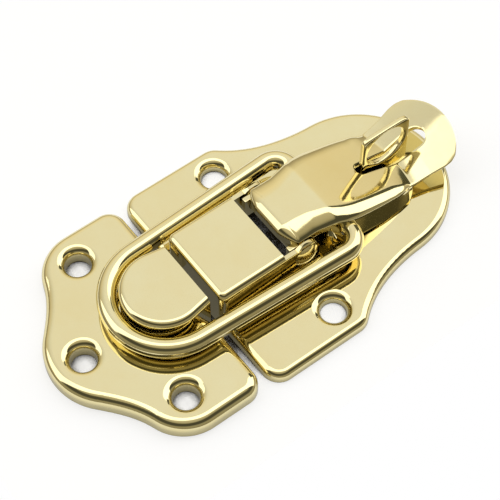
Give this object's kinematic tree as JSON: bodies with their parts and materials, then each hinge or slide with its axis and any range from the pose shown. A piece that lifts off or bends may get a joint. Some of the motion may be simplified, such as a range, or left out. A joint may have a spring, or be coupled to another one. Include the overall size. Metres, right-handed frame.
{
  "type": "suitcase latch",
  "caption": "Pressed-metal draw latch: a wire bail hooks over a D-shaped catch, a lever pulls it tight over centre, and an eye takes a padlock.",
  "frame": {"origin": "on the mounting plane (z = 0, the face of the case), in the middle of the gap between the two plates", "axes": "+X along the latch from the gap to the lever's tip, +Y across the latch, +Z out of the case"},
  "size_m": [0.0722, 0.039, 0.0128],
  "materials": {
    "catch_plate": "polished plating on pressed sheet",
    "base_plate": "polished plating on pressed sheet",
    "lever": "polished plating on pressed sheet",
    "pivot_pin": "polished plating on a peened pin",
    "bail_wire": "polished plating on bent wire",
    "padlock_eye": "polished plating on sheared sheet"
  },
  "bodies": {
    "base": {"base_plate": "base_plate", "catch_plate": "catch_plate", "pivot_pin": "pivot_pin", "padlock_eye": "padlock_eye"},
    "lever": {"lever": "lever"},
    "bail": {"bail": "bail_wire"}
  },
  "joints": [
    {"name": "lever_pivot", "type": "hinge", "parent": "base", "child": "lever", "pos_m": [0.0163, 0, 0.0055], "axis": [0, -1, 0], "range_deg": [0, 90]},
    {"name": "bail_pivot", "type": "hinge", "parent": "lever", "child": "bail", "pos_m": [0.0242, 0, 0.0052], "axis": [0, -1, 0], "range_deg": [-110, 0]}
  ],
  "couplings": [
    {"joint": "bail_pivot", "follows": "lever_pivot", "ratio": -1.2}
  ]
}
